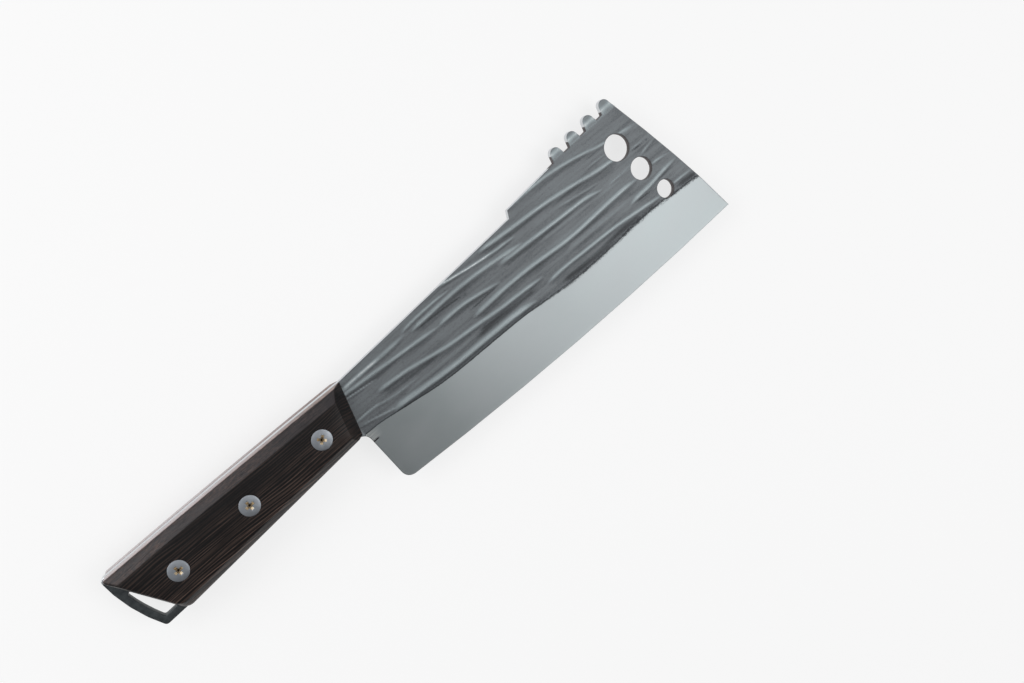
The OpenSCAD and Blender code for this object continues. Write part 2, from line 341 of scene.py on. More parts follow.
pits_mm = ((181.2, -0.1, 0.7, 1.0), (45.5, -2.3, 0.6, 0.35), (32, -0.6, 0.8, 0.3), (27.5, 0.3, 0.8, 0.25),
           (113.5, -23.4, 1.6, 0.4), (72, 3.4, 1.3, 0.4), (68, 9.9, 0.9, 0.4), (63.5, 10.9, 0.8, 0.35))

# Streaks that are rubbed bright, in the same way, with a width and a strength
rubs_mm = (
    (((64, 14.4), (72, 12.6), (80, 10.9), (88, 9.7), (94, 9.1)), 0.5, 1.25),
    (((4, 8.4), (14, 8.4), (26, 7.9)), 0.95, 1.0),
    (((3.0, 4.4), (10, 3.4), (19, 1.9)), 0.3, 1.2),
    (((0, -6.1), (8, -6.1), (14, -6.8)), 0.4, 0.6),
    (((0, -8.4), (8, -10.4), (18, -13.4)), 0.3, 0.4),
    (((40, 10.1), (52, 10.6), (64, 10.2)), 0.5, 0.55),
    (((4, 10.6), (30, 9.4)), 0.4, 0.3),
)

# How deep the forging goes, and between which heights of forged() it is cut off
relief, relief_range, lift_low, lift_high = 0.36 * MM, 1.6, -0.6, 1.15
trough_share, crease_share, pit_share = 0.26, 2.6, 1.6
ridge_run_mm, crease_run_mm = 8, 5
edge_half, round_r, rim_band, wall_spacing = 0.2 * MM, 0.3 * MM, 0.18 * MM, 0.55 * MM
grind_step, line_band_mm, seam_fades_mm = 0.12 * MM, 1.3, (88, 112)
nick_y_mm, nick_from_mm, nick_end_mm, nick_width_mm, nick_deep = -18.0, 1.8, 3.2, 0.42, 0.16 * MM
edge_below_mm = -34

# The band with the teeth: its lower line, where it starts, and its bright streak
tooth_line_mm, tooth_from_mm, tooth_streak_mm, tooth_slope = 21.4, 132, 23.4, 0.03

# Steel that a scale hides: how it is marked, and where the forging fades out before the scale
hidden, tang_lift = 3.0, 0.5
scale_front_mm, front_angle = 2.6, math.radians(18)
fade_from_mm, fade_to_mm = -1.6, -0.2


def forged(x, y):
    """Height of the forged face at mm places: 0 on the plain, 1 on the crests, below 0 in the troughs."""
    ribs, troughs = np.zeros_like(x), np.zeros_like(x)
    for points, spine_side, edge_side, height in ridges_mm:
        crest, t = along(points, x)
        ends = tapered(np.minimum(t * 1.7, 1 - t), points, ridge_run_mm) ** 0.6
        size = np.where((t > 0) & (t < 1), ends * height, 0)
        wide = 0.3 + 0.7 * ends
        u = crest - y
        # a flat top over the crest, a sharp drop under it, then a hollow that runs out
        drop = (0.38 + 0.15 * edge_side) * wide
        fall = smoothstep(u, -0.2, drop)
        upper = smoothstep(u, -spine_side * wide, -0.42 * spine_side * wide)
        ribs = np.maximum(ribs, np.where(u < 0, upper, 1 - fall) * size)
        hollow = fall * (1 - smoothstep(u, drop, drop + 1.15 * edge_side * wide))
        troughs = np.maximum(troughs, hollow * size)
    for points, width, depth in creases_mm:
        bottom, t = along(points, x)
        ends = tapered(np.minimum(t, 1 - t), points, crease_run_mm)
        ends = np.where((t > 0) & (t < 1), ends, 0)
        hollow = depth * ends * swell(y - bottom, width * (0.35 + 0.65 * ends))
        troughs = np.maximum(troughs, crease_share * hollow)
        ribs = ribs * (1 - hollow)
    for px, py, width, depth in pits_mm:
        troughs = np.maximum(troughs, pit_share * depth * swell(np.hypot((x - px) * 0.6, y - py), width))
    wave = 0.09 * np.sin(y * 1.15 + x * 0.09 + 0.8 * np.sin(x * 0.045)) * np.sin(x * 0.031 + y * 0.21)
    wave += 0.05 * np.sin(y * 2.7 + x * 0.16 + 1.7 * np.sin(x * 0.07 + y * 0.1))
    return ribs - trough_share * troughs + wave


def grind_line(x):
    """Height of the grind line in mm, which is a little uneven."""
    return along(grind_line_mm, x)[0]


def steel_half(points, edge_mm):
    """Half the steel's thickness at points, how high the forging stands there, and how far over the
    grind line they are."""
    x, y = in_mm(points)
    in_front = smoothstep(x - (scale_front_mm + y * math.tan(front_angle)), fade_from_mm, fade_to_mm)
    lift = (1 - in_front) * tang_lift + in_front * np.clip(forged(x, y), lift_low, lift_high)
    half = half_steel - relief * (lift_high - lift) / relief_range * in_front
    dashes = 0.85 + 0.08 * np.sin(x * 4.1 + 2 * np.sin(x * 0.7)) + 0.1 * np.sin(x * 1.3)
    for points_mm, width, strength in rubs_mm:
        middle, t = along(points_mm, x)
        fade = np.clip(np.minimum(t, 1 - t) * 6, 0, 1)
        lift = lift + strength * dashes * fade * swell(y - middle, width) * in_front
    # the band with the teeth is ground a little thinner, with a bright line where it starts
    over_teeth = y - tooth_line_mm
    toothed = smoothstep(over_teeth, -0.15, 0.15) * smoothstep(x, tooth_from_mm, tooth_from_mm + 6)
    half = half * (1 - toothed) + toothed * (half_steel - 0.5 * relief - over_teeth * tooth_slope * MM)
    bright = 0.55 + 0.85 * swell(y - tooth_streak_mm, 1.6) + 0.3 * np.sin(x * 0.6)
    lift = lift * (1 - toothed) + toothed * bright
    lift = lift + 0.5 * smoothstep(x, tooth_from_mm, tooth_from_mm + 8) * swell(over_teeth + 0.35, 0.5)
    # the ground bevel, flat from the edge to the grind line
    line = grind_line(x)
    above = y - line
    edge, _ = along(edge_mm, x)
    share = np.clip((y - edge) / (line - edge), 0, 1)
    shallow = half_steel - grind_step * (1 - smoothstep(x, *seam_fades_mm)) - relief * 0.6
    ground = edge_half + (shallow - edge_half) * share
    in_nick = swell(y - nick_y_mm, nick_width_mm) * (1 - smoothstep(x, nick_from_mm, nick_end_mm))
    ground = ground - nick_deep * in_nick
    near_line = 1 - smoothstep(above, 0.0, line_band_mm)
    half = np.where(above < 0, ground, half * (1 - near_line) + np.minimum(half, shallow) * near_line)
    behind = 1 - smoothstep(x, -1.2, -0.6)
    half = half * (1 - behind) + half_steel * behind
    return half, lift, np.where(behind > 0.5, hidden, above)


def cutting_edge(outline):
    """Points of the cutting edge, in mm, from the heel to the tip."""
    p = np.stack(in_mm(outline), 1)
    low = p[(p[:, 1] < edge_below_mm) & (inward(outline)[:, 1] > 0.8)]
    return low[np.argsort(low[:, 0])][::4]


def lattice(low, high, dx, dy):
    """Points in rows, each second row half a step on."""
    xs = np.arange(low[0], high[0], dx)
    ys = np.arange(low[1], high[1], dy)
    gx, gy = np.meshgrid(xs, ys)
    gx = gx + (np.arange(len(ys)) % 2)[:, None] * dx / 2
    return np.stack([gx.ravel(), gy.ravel()], 1)


def far_from(points, loops, gap):
    """Which points keep that gap from the outlines' points."""
    ring = np.concatenate(loops)
    tree = KDTree(len(ring))
    for i, p in enumerate(ring):
        tree.insert((p[0], p[1], 0), i)
    tree.balance()
    return np.array([tree.find((p[0], p[1], 0))[2] > gap for p in points])


def face_points(face_rings, inner_rings):
    """Points of the steel's face: fine rows over the forging, wide ones over the flat bevel and the hidden
    tang, and rows of their own along the grind line, the nick and the rims."""
    fine = lattice((heel_x - 1.5 * MM, screw_y - 30 * MM), (blade_high.x, blade_high.y), 1.0 * MM, 0.3 * MM)
    wide = lattice((heel_x - 1 * MM, blade_low.y), (blade_high.x, screw_y - 12 * MM), 2.4 * MM, 2.0 * MM)
    tang = lattice((blade_low.x, screw_y - 16 * MM), (heel_x - 1.5 * MM, blade_high.y), 3 * MM, 3 * MM)

    def over_line(points):
        x, y = in_mm(points)
        return y - grind_line(x)

    def row(x_mm, y_mm):
        return np.stack([heel_x + x_mm * MM, screw_y + (y_mm + np.zeros(len(x_mm))) * MM], 1)

    line_x = np.arange(-1.0, blade_len_mm, 0.7)
    nick_x = np.arange(-0.5, nick_end_mm + 0.8, 0.4)
    rows = [row(line_x, grind_line(line_x) + off) for off in (-0.7, -0.02, 0.06)]
    rows += [row(nick_x, nick_y_mm + off) for off in (-0.8, -0.42, -0.2, 0.0, 0.2, 0.42, 0.8)]
    near_nick = (wide[:, 0] < heel_x + 5 * MM) & (np.abs(wide[:, 1] - screw_y - nick_y_mm * MM) < 1.6 * MM)
    wide = wide[(over_line(wide) < -1.2) & ~near_nick]
    fill = np.concatenate([fine[over_line(fine) > 0.3], wide, tang] + rows)
    fill = fill[far_from(fill, face_rings, 0.45 * MM)]
    fill = np.concatenate([fill] + inner_rings)
    fill = fill[inside(fill, face_rings)]
    return fill[far_from(fill, face_rings, 0.8 * rim_band)]


def make_blade():
    """The steel from its CAD outline: rounded walls, forged faces and ground bevels, alike on both sides."""
    rings = []
    for i, loop in enumerate(outlines("blade", mid_z)):
        if (signed_area(loop) > 0) != (i == 0):
            loop = loop[::-1]
        rings.append(resampled(loop, wall_spacing))
    edge_mm = cutting_edge(rings[0])
    columns, inner_rings = [], []
    for ring in rings:
        normal = inward(ring)
        half, _, _ = steel_half(ring + normal * round_r, edge_mm)
        r = np.minimum(round_r, 0.7 * half)
        levels = []
        for angle in (90, 60, 30, 0):
            c, s = math.cos(math.radians(angle)), math.sin(math.radians(angle))
            levels.append((ring + normal * (r * (1 - c))[:, None], half - r * (1 - s)))
        columns.append(levels)
        inner_rings.append(ring + normal * (r + rim_band)[:, None])
    face_rings = [levels[0][0] for levels in columns]
    coords, triangles, owner = filled(face_rings, [face_points(face_rings, inner_rings)])
    half, _, _ = steel_half(coords, edge_mm)
    for k, ring_half in enumerate(np.concatenate([levels[0][1] for levels in columns])):
        half[owner[k]] = ring_half

    # both faces first, then the rounded walls between them, from the front face to the back one
    n = len(coords)
    verts = [np.column_stack([coords, mid_z + half]), np.column_stack([coords, mid_z - half])]
    faces = [tuple(t) for t in triangles] + [tuple(t[::-1] + n) for t in triangles]
    total, start = 2 * n, 0
    for levels in columns:
        count = len(levels[0][0])
        face_ids = [owner[start + i] for i in range(count)]
        rows = [face_ids]
        for side, some in ((1, levels[1:]), (-1, levels[:0:-1])):
            for place, height in some:
                verts.append(np.column_stack([place, mid_z + side * height]))
                rows.append(list(range(total, total + count)))
                total += count
        rows.append([i + n for i in face_ids])
        for first, second in zip(rows, rows[1:]):
            faces += between(first, second, True)
        start += count
    everything = np.concatenate(verts)
    steel = mesh_object("forged_blade", everything, faces, 62)
    _, lift, above = steel_half(everything[:, :2], edge_mm)
    point_attribute(steel, "forging", lift)
    point_attribute(steel, "over_grind", above)
    return steel


blade = make_blade()
drop_loose(blade)

# ---- the handle's scales

scale_t, soft_edge, hole_chamfer = scale_high.z - scale_low.z, 0.45 * MM, 0.12 * MM
screw_head_r, screw_head_t, nut_barrel_r, screw_play = 4.5 * MM, 1.6 * MM, 3.0 * MM, 0.05 * MM
facets = 72

butt_angle = math.radians(27)
scale_len_mm = 110.7
spine_rise_mm, butt_rise_mm, side_bow_mm = 12, 17, 0.4
front_drop_mm, butt_drop_mm = 12, 15.5


def front_at(y):
    return np.array([scale_front_mm + y * math.tan(front_angle), y])


def butt_at(y):
    return np.array([scale_front_mm - scale_len_mm - y * math.tan(butt_angle), y])


# The sides in order: spine, butt, belly, front, each as two points, with the material to the left.
# Each has a bevel (width, height), a softness of its bend, points along it, and a corner before it.
side_ends = (
    (front_at(spine_rise_mm), butt_at(butt_rise_mm)),
    (butt_at(butt_rise_mm), butt_at(-butt_drop_mm)),
    (butt_at(-butt_drop_mm), front_at(-front_drop_mm)),
    (front_at(-front_drop_mm), front_at(spine_rise_mm)),
)
side_bevels_mm = ((4.4, 2.8), (1.4, 3.0), (4.0, 4.0), (5.3, 8.0))
side_soft_mm = (0.3, 0.25, 0.6, 0.3)
side_counts = (72, 22, 72, 20)
corner_r_mm = (0.5, 1.0, 4.0, 0.5)
arc_steps = 7


def soft_cut(z, bevel, soft):
    """How far a bevelled side has moved in at height z over the steel, in mm, with a softened start."""
    w, h = bevel
    t = z - (scale_t / MM - h)
    return w / h * (0.5 * (t + math.sqrt(t * t + soft * soft)) if h < scale_t / MM else max(z, 0))


def cross_section(z, inset):
    """The outline of a scale at height z over the steel, in mm, with its corners rounded."""
    lines = []
    for (a, b), bevel, soft in zip(side_ends, side_bevels_mm, side_soft_mm):
        way = (b - a) / np.linalg.norm(b - a)
        inner = np.array([-way[1], way[0]])
        lines.append((a + inner * (soft_cut(z, bevel, soft) + inset), way, inner))
    corners = []
    for i in range(4):
        (p, d, _), (q, e, _) = lines[i - 1], lines[i]
        t = np.linalg.solve(np.array([d, -e]).T, q - p)
        turn = math.acos(np.clip(np.dot(d, e), -1, 1))
        corners.append((p + d * t[0], corner_r_mm[i] * math.tan(turn / 2)))
    out = []
    for i, (_, way, inner) in enumerate(lines):
        after = (i + 1) % 4
        (a, a_reach), (b, b_reach) = corners[i], corners[after]
        first, last = a + way * a_reach, b - way * b_reach
        share = np.linspace(0, 1, side_counts[i])[:, None]
        bow = side_bow_mm if i == 0 else 0
        out.append(first + (last - first) * share - inner * (4 * bow * share * (1 - share)))
        start, stop = (math.atan2(-n[1], -n[0]) for n in (inner, lines[after][2]))
        turn = (stop - start + 3 * math.pi) % (2 * math.pi) - math.pi
        angles = start + turn * np.arange(1, arc_steps) / arc_steps
        out.append(last + corner_r_mm[after] * (inner + np.stack([np.cos(angles), np.sin(angles)], 1)))
    return np.concatenate(out)


def make_scale(name, side):
    """One scale: side is 1 for the front scale and -1 for the back one."""
    top, soft = scale_t / MM, soft_edge / MM
    levels = [(0.0, 0.06), (0.08, 0.0), (0.6, 0.0)]
    levels += [(z, 0.0) for z in np.arange(1.2, top - soft - 0.05, 0.34)]
    levels += [(top - soft * (1 - math.sin(a)), soft * (1 - math.cos(a)) * 0.5)
               for a in np.linspace(0, math.pi / 2, 5)]
    blocks, faces = [], []

    def row(xy, z):
        """Adds a closed row of points, and gives their numbers."""
        start = sum(map(len, blocks))
        blocks.append(np.column_stack([xy, np.full(len(xy), z)]))
        return np.arange(start, start + len(xy))

    def wall(rows):
        for first, second in zip(rows, rows[1:]):
            faces.extend(between(first, second, side < 0))
        return rows

    outside = wall([row(np.array([heel_x, screw_y]) + cross_section(z, inset) * MM,
                        mid_z + side * (half_steel + z * MM)) for z, inset in levels])
    # the counterbored screw holes, each from the outer face to the inner one
    angles = np.linspace(0, 2 * math.pi, facets, endpoint=False)
    circle = np.stack([np.cos(angles), np.sin(angles)], 1)
    inner_z = mid_z + side * half_steel
    outer_z = inner_z + side * scale_t
    seat_r, barrel_r = screw_head_r + screw_play, nut_barrel_r + screw_play
    seat_z = outer_z - side * screw_head_t
    steps = ((seat_r + hole_chamfer, outer_z), (seat_r, outer_z - side * hole_chamfer), (seat_r, seat_z),
             (barrel_r, seat_z), (barrel_r, inner_z))
    holes = [wall([row(np.array(middle.xy) + circle * r, z) for r, z in steps]) for middle in screw_middles]
    everything = np.concatenate(blocks)
    # the outer face, then the inner one
    for rings, up in (([outside[-1]] + [hole[0] for hole in holes], side),
                      ([outside[0]] + [hole[-1] for hole in holes], -side)):
        ids = np.concatenate(rings)
        _, triangles, owner = filled([everything[ring][:, :2] for ring in rings])
        given = {i: ids[k] for k, i in owner.items()}
        faces += [tuple(given[i] for i in t)[::up] for t in triangles]
    return mesh_object(name, everything, faces, 42)


front_wood = make_scale("front_wood", 1)
back_wood = make_scale("back_wood", -1)
for piece in (front_wood, back_wood):
    drop_loose(piece)

# ---- node trees


class Nodes:
    """A short way to write a node tree."""

    def __init__(self, tree):
        self.tree = tree

    def give(self, socket, value):
        if isinstance(value, bpy.types.NodeSocket):
            self.tree.links.new(value, socket)
        else:
            socket.default_value = value

    def node(self, kind, settings=None, **values):
        """A new node, with inputs by name: an underscore stands for a space."""
        node = self.tree.nodes.new(kind)
        for key, value in (settings or {}).items():
            setattr(node, key, value)
        for key, value in values.items():
            self.give(node.inputs[key.replace("_", " ")], value)
        return node

    def out(self, kind, settings=None, **values):
        return self.node(kind, settings, **values).outputs[0]

    def filled_in(self, kind, settings, *values):
        """A new node with its first inputs given in order, and its first output."""
        node = self.node(kind, settings)
        for socket, value in zip(node.inputs, values):
            self.give(socket, value)
        return node.outputs[0]

    def maths(self, operation, a, b=0.0):
        return self.filled_in("ShaderNodeMath", {"operation": operation}, a, b)

    def plus(self, a, b):
        return self.maths("ADD", a, b)

    def minus(self, a, b):
        return self.maths("SUBTRACT", a, b)

    def times(self, a, b):
        return self.maths("MULTIPLY", a, b)

    def spread(self, value, low, high, out_low=0.0, out_high=1.0):
        """A value from one range laid over another, held at its ends."""
        return self.out("ShaderNodeMapRange", Value=value, From_Min=low, From_Max=high, To_Min=out_low,
                        To_Max=out_high)

    def ramp(self, value, stops):
        node = self.node("ShaderNodeValToRGB", Fac=value)
        band = node.color_ramp.elements
        while len(band) < len(stops):
            band.new(0.5)
        for element, (at, colour) in zip(band, stops):
            element.position = at
            element.color = (*colour, 1)
        return node.outputs[0]

    def blend(self, share, a, b):
        return self.filled_in("ShaderNodeMixShader", None, share, a, b)

    def vector(self, x=0.0, y=0.0, z=0.0):
        return self.out("ShaderNodeCombineXYZ", X=x, Y=y, Z=z)

    def split(self, vector):
        return self.node("ShaderNodeSeparateXYZ", Vector=vector).outputs


# ---- screws and nuts


class Tree(Nodes):
    """A geometry node tree with named sizes."""

    def __init__(self, name):
        super().__init__(bpy.data.node_groups.new(name, "GeometryNodeTree"))
        self.tree.interface.new_socket("Geometry", in_out="OUTPUT", socket_type="NodeSocketGeometry")
        self.inputs = self.tree.nodes.new("NodeGroupInput")
        self.outputs = self.tree.nodes.new("NodeGroupOutput")
        self.ids = {}

    def size(self, name, value=None, kind="Float"):
        socket = self.tree.interface.new_socket(name, in_out="INPUT", socket_type="NodeSocket" + kind)
        if value is not None:
            socket.default_value = value
        self.ids[name] = socket.identifier
        return self.inputs.outputs[name]

    def ring(self, low_r, low_z, high_r, high_z):
        """The turned surface between two radii at two heights."""
        cone = self.out("GeometryNodeMeshCone", {"fill_type": "NONE"}, Vertices=facets, Radius_Bottom=low_r,
                        Radius_Top=high_r, Depth=self.minus(high_z, low_z))
        return self.out("GeometryNodeTransform", Geometry=cone, Translation=self.vector(z=low_z))

    def turned(self, profile):
        """A turned body from a profile of (radius, height), bottom to top, closed at its poles."""
        parts = [self.ring(r0, z0, r1, z1) for (r0, z0), (r1, z1) in zip(profile, profile[1:])]
        join = self.node("GeometryNodeJoinGeometry")
        for part in reversed(parts):
            self.tree.links.new(part, join.inputs[0])
        return self.out("GeometryNodeMergeByDistance", Geometry=join.outputs[0], Distance=2 * weld_gap)

    def end(self, geometry, material):
        realized = self.out("GeometryNodeRealizeInstances", Geometry=geometry)
        finished = self.out("GeometryNodeSetMaterial", Geometry=realized, Material=material)
        self.tree.links.new(finished, self.outputs.inputs[0])


def cross_screw_tree():
    """A flat screw head with a softened rim and a tapering cross recess, on a plain shank."""
    t = Tree("cross_screw")
    head_r = t.size("Head radius", screw_head_r)
    head_t = t.size("Head thickness", screw_head_t)
    shank_r = t.size("Shank radius", 1.75 * MM)
    shank_len = t.size("Shank length", 14.8 * MM)
    soft = t.size("Edge softness", 0.14 * MM)
    reach = t.size("Recess length", 4.3 * MM)
    wide = t.size("Recess width", 1.25 * MM)
    deep = t.size("Recess depth", 1.2 * MM)
    turn = t.size("Turn", 0.0)
    place = t.size("Place", kind="Vector")
    material = t.size("Material", kind="Material")
    under = t.times(head_t, -1)
    foot = t.minus(under, shank_len)
    half_soft = t.times(soft, 0.3)
    cut = t.turned([
        (0.0, foot), (shank_r, foot), (shank_r, under), (head_r, under), (head_r, t.times(soft, -1)),
        (t.minus(head_r, half_soft), t.times(half_soft, -1)), (t.minus(head_r, soft), 0.0), (0.0, 0.0)])
    middle = t.times(wide, 1.7)
    for turned, long, broad in ((0, reach, wide), (math.pi / 2, reach, wide), (math.pi / 4, middle, middle)):
        block = t.out("GeometryNodeMeshCube", Size=t.vector(long, broad, t.times(deep, 2)))
        x, y, z = t.split(t.out("GeometryNodeInputPosition"))
        depth_share = t.maths("DIVIDE", z, deep)
        shorter, thinner = (t.plus(1.0, t.times(depth_share, taper)) for taper in (0.52, 0.30))
        arm = t.out("GeometryNodeSetPosition", Geometry=block,
                    Position=t.vector(t.times(x, shorter), t.times(y, thinner), z))
        arm = t.out("GeometryNodeTransform", Geometry=arm, Rotation=(0, 0, turned))
        cut = t.filled_in("GeometryNodeMeshBoolean", {"operation": "DIFFERENCE"}, cut, arm)
    cut = t.out("GeometryNodeTransform", Geometry=cut, Translation=place, Rotation=t.vector(z=turn))
    t.end(cut, material)
    return t


def barrel_nut_tree():
    """A flat nut head with a softened rim, on a barrel with a plain bore."""
    t = Tree("barrel_nut")
    head_r = t.size("Head radius", screw_head_r)
    head_t = t.size("Head thickness", screw_head_t)
    barrel_r = t.size("Barrel radius", nut_barrel_r)
    bore_r = t.size("Bore radius", 1.8 * MM)
    barrel_len = t.size("Barrel length", 14.8 * MM)
    soft = t.size("Edge softness", 0.14 * MM)
    place = t.size("Place", kind="Vector")
    material = t.size("Material", kind="Material")
    top = t.plus(head_t, barrel_len)
    half_soft = t.times(soft, 0.3)
    body = t.turned([
        (0.0, 0.0), (t.minus(head_r, soft), 0.0), (t.minus(head_r, half_soft), half_soft),
        (head_r, soft), (head_r, head_t), (barrel_r, head_t), (barrel_r, top), (bore_r, top),
        (bore_r, head_t), (0.0, head_t)])
    t.end(t.out("GeometryNodeTransform", Geometry=body, Translation=place), material)
    return t


def grown(name, tree, **sizes):
    """A plain mesh piece from a geometry node tree, with some of its sizes set."""
    holder = placed(name + "_maker", bpy.data.meshes.new(name + "_maker"))
    modifier = holder.modifiers.new("maker", "NODES")
    modifier.node_group = tree.tree
    for key, value in sizes.items():
        modifier[tree.ids[key.replace("_", " ")]] = value
    bpy.context.view_layer.update()
    ready = holder.evaluated_get(bpy.context.evaluated_depsgraph_get())
    mesh = bpy.data.meshes.new_from_object(ready)
    bpy.data.objects.remove(holder)
    mesh.name = name
    mesh.shade_smooth()
    mesh.set_sharp_from_angle(angle=math.radians(30))
    return placed(name, mesh)


# ---- materials


class Finish(Nodes):
    """A material, with its principled shader and the piece's own coordinates."""

    def __init__(self, name):
        self.material = bpy.data.materials.new(name)
        self.material.use_nodes = True
        super().__init__(self.material.node_tree)
        self.shader = self.tree.nodes["Principled BSDF"]
        self.place = self.node("ShaderNodeTexCoord").outputs["Object"]

    def noise(self, scale, detail=3.0, rough=0.5, shift=(0, 0, 0)):
        """Noise that is drawn out by a scale for each direction."""
        at = self.out("ShaderNodeMapping", Vector=self.place, Scale=scale, Location=shift)
        return self.grain(at, detail, rough)

    def grain(self, at, detail, rough=0.5):
        return self.node("ShaderNodeTexNoise", Vector=at, Scale=1.0, Detail=detail,
                         Roughness=rough).outputs["Fac"]

    def attribute(self, name):
        return self.node("ShaderNodeAttribute", {"attribute_name": name}).outputs["Fac"]

    def mix(self, share, a, b, blend="MIX"):
        node = self.node("ShaderNodeMix", {"data_type": "RGBA", "blend_type": blend})
        for socket, value in ((node.inputs[0], share), (node.inputs[6], a), (node.inputs[7], b)):
            self.give(socket, (*value, 1) if isinstance(value, tuple) else value)
        return node.outputs[2]

    def bump(self, height, distance, strength, under=None):
        node = self.node("ShaderNodeBump", Height=height, Distance=distance, Strength=strength)
        if under is not None:
            self.give(node.inputs["Normal"], under)
        return node.outputs[0]

    def set(self, **values):
        for key, value in values.items():
            self.give(self.shader.inputs[key.replace("_", " ")], value)


def blade_faces():
    """Dark forging with bright crests, partly rubbed steel and oxide in the hollows and partly painted
    highlight and painted shade, and below the grind line the satin bevel, with a seam between that is sharp
    at the heel and feathered towards the tip."""
    f = Finish("forged_and_ground_steel")
    height = f.attribute("forging")
    above = f.attribute("over_grind")
    x, y, _ = f.split(f.place)
    streak = f.noise((50, 650, 650), 4, 0.6)
    grit = f.noise((1500, 3200, 3200), 2, 0.6)
    speck = f.noise((900, 2400, 2400), 3, 0.7, (3, 1, 0))
    cloud = f.noise((40, 120, 120))
    shifted = height
    for texture, reach in ((grit, 0.12), (streak, 0.10), (cloud, 0.08)):
        shifted = f.plus(shifted, f.spread(texture, 0.3, 0.7, -reach, reach))
    tone = f.spread(shifted, -0.6, 2.2)
    # bright crests and dark hollows: partly rubbed steel and oxide, partly a painted highlight on the crests
    # and painted shade under them
    forged_colour_and_painted_light = f.ramp(tone, (
        (0.0, (0.056, 0.060, 0.064)), (0.10, (0.098, 0.106, 0.113)), (0.214, (0.178, 0.193, 0.203)),
        (0.314, (0.212, 0.234, 0.246)), (0.464, (0.290, 0.330, 0.344)), (0.607, (0.365, 0.415, 0.430)),
        (0.786, (0.62, 0.66, 0.67)), (1.0, (0.88, 0.90, 0.90))))
    dots = f.ramp(speck, ((0.30, (0.60, 0.58, 0.59)), (0.42, (1, 1, 1)), (0.72, (1, 1, 1)),
                          (0.82, (1.35, 1.35, 1.35))))
    forged_colour_and_painted_light = f.mix(0.8, forged_colour_and_painted_light, dots, "MULTIPLY")
    forged_rough = f.plus(f.spread(tone, 0, 1, 0.52, 0.40), f.spread(grit, 0.3, 0.7, -0.04, 0.05))
    # the bevel
    across = f.noise((1600, 90, 250))
    mottle = f.noise((30, 50, 50))
    ground = f.mix(f.spread(mottle, 0.35, 0.65), (0.350, 0.385, 0.392), (0.385, 0.415, 0.424))
    ground_rough = f.plus(0.345, f.spread(mottle, 0.3, 0.7, -0.025, 0.03))
    # the rough light patch over the heel's nick, and painted shade in the nick
    to_heel = f.spread(x, heel_x + 1.5 * MM, heel_x + 6 * MM, 1.0, 0.0)
    over_nick = f.minus(y, screw_y + nick_y_mm * MM)
    patch = f.times(to_heel, f.spread(over_nick, 0.0, 1.2 * MM))
    ground = f.mix(f.times(patch, f.spread(streak, 0.4, 0.6, 0.1, 0.9)), ground, (0.62, 0.64, 0.63))
    # the nick's groove is painted near-black as painted shade
    in_nick = f.spread(f.maths("ABSOLUTE", over_nick), 0.1 * MM, 0.4 * MM, 1.0, 0.0)
    in_nick = f.times(in_nick, f.spread(x, heel_x + 2.4 * MM, heel_x + 3.3 * MM, 1.0, 0.0))
    ground = f.mix(in_nick, ground, (0.05, 0.045, 0.045))
    # the seam, and the dark line along it
    soft = f.spread(x, *(heel_x + at * MM for at in seam_fades_mm))
    coarse = f.times(f.spread(grit, 0.25, 0.75, -1.0, 1.0), f.spread(soft, 0, 1, 0.12, 0.75))
    drawn = f.times(f.spread(streak, 0.3, 0.7, -1.0, 1.0), f.spread(soft, 0, 1, 0.05, 0.45))
    ragged = f.plus(f.plus(above, coarse), drawn)
    reach = f.spread(soft, 0, 1, 0.12, 1.25)
    share = f.maths("DIVIDE", f.plus(ragged, reach), f.plus(reach, 0.15))
    seam = f.out("ShaderNodeMapRange", {"interpolation_type": "SMOOTHSTEP"}, Value=share)
    shade = f.ramp(f.spread(ragged, 0.0, 2.4), (
        (0.0, (0.30, 0.30, 0.31)), (0.16, (0.36, 0.36, 0.37)), (0.34, (0.80, 0.80, 0.81)), (1.0, (1, 1, 1))))
    forged_colour_and_painted_light = f.mix(1.0, forged_colour_and_painted_light, shade, "MULTIPLY")
    rough = f.plus(f.times(seam, forged_rough), f.times(f.minus(1.0, seam), ground_rough))
    normal = f.bump(grit, 0.05 * MM, f.times(seam, 0.5))
    normal = f.bump(streak, 0.06 * MM, f.times(seam, 0.45), normal)
    normal = f.bump(across, 0.01 * MM, 0.15, normal)
    f.set(Base_Color=f.mix(seam, ground, forged_colour_and_painted_light), Metallic=f.spread(seam, 0, 1, 1.0, 0.72),
          Roughness=rough, Normal=normal)
    return f.material


def plain_steel(name, scale, detail, tones, metal, rough, dent_mm, dent):
    """Steel off the faces: one tone, or mottled between two."""
    f = Finish(name)
    mottle = f.noise(scale, detail)
    one_tone = (*tones[0], 1)
    colour = f.mix(f.spread(mottle, 0.35, 0.65), *tones) if len(tones) == 2 else one_tone
    f.set(Base_Color=colour, Metallic=metal, Normal=f.bump(mottle, dent_mm * MM, dent),
          Roughness=f.spread(mottle, 0.3, 0.7, *rough))
    return f.material


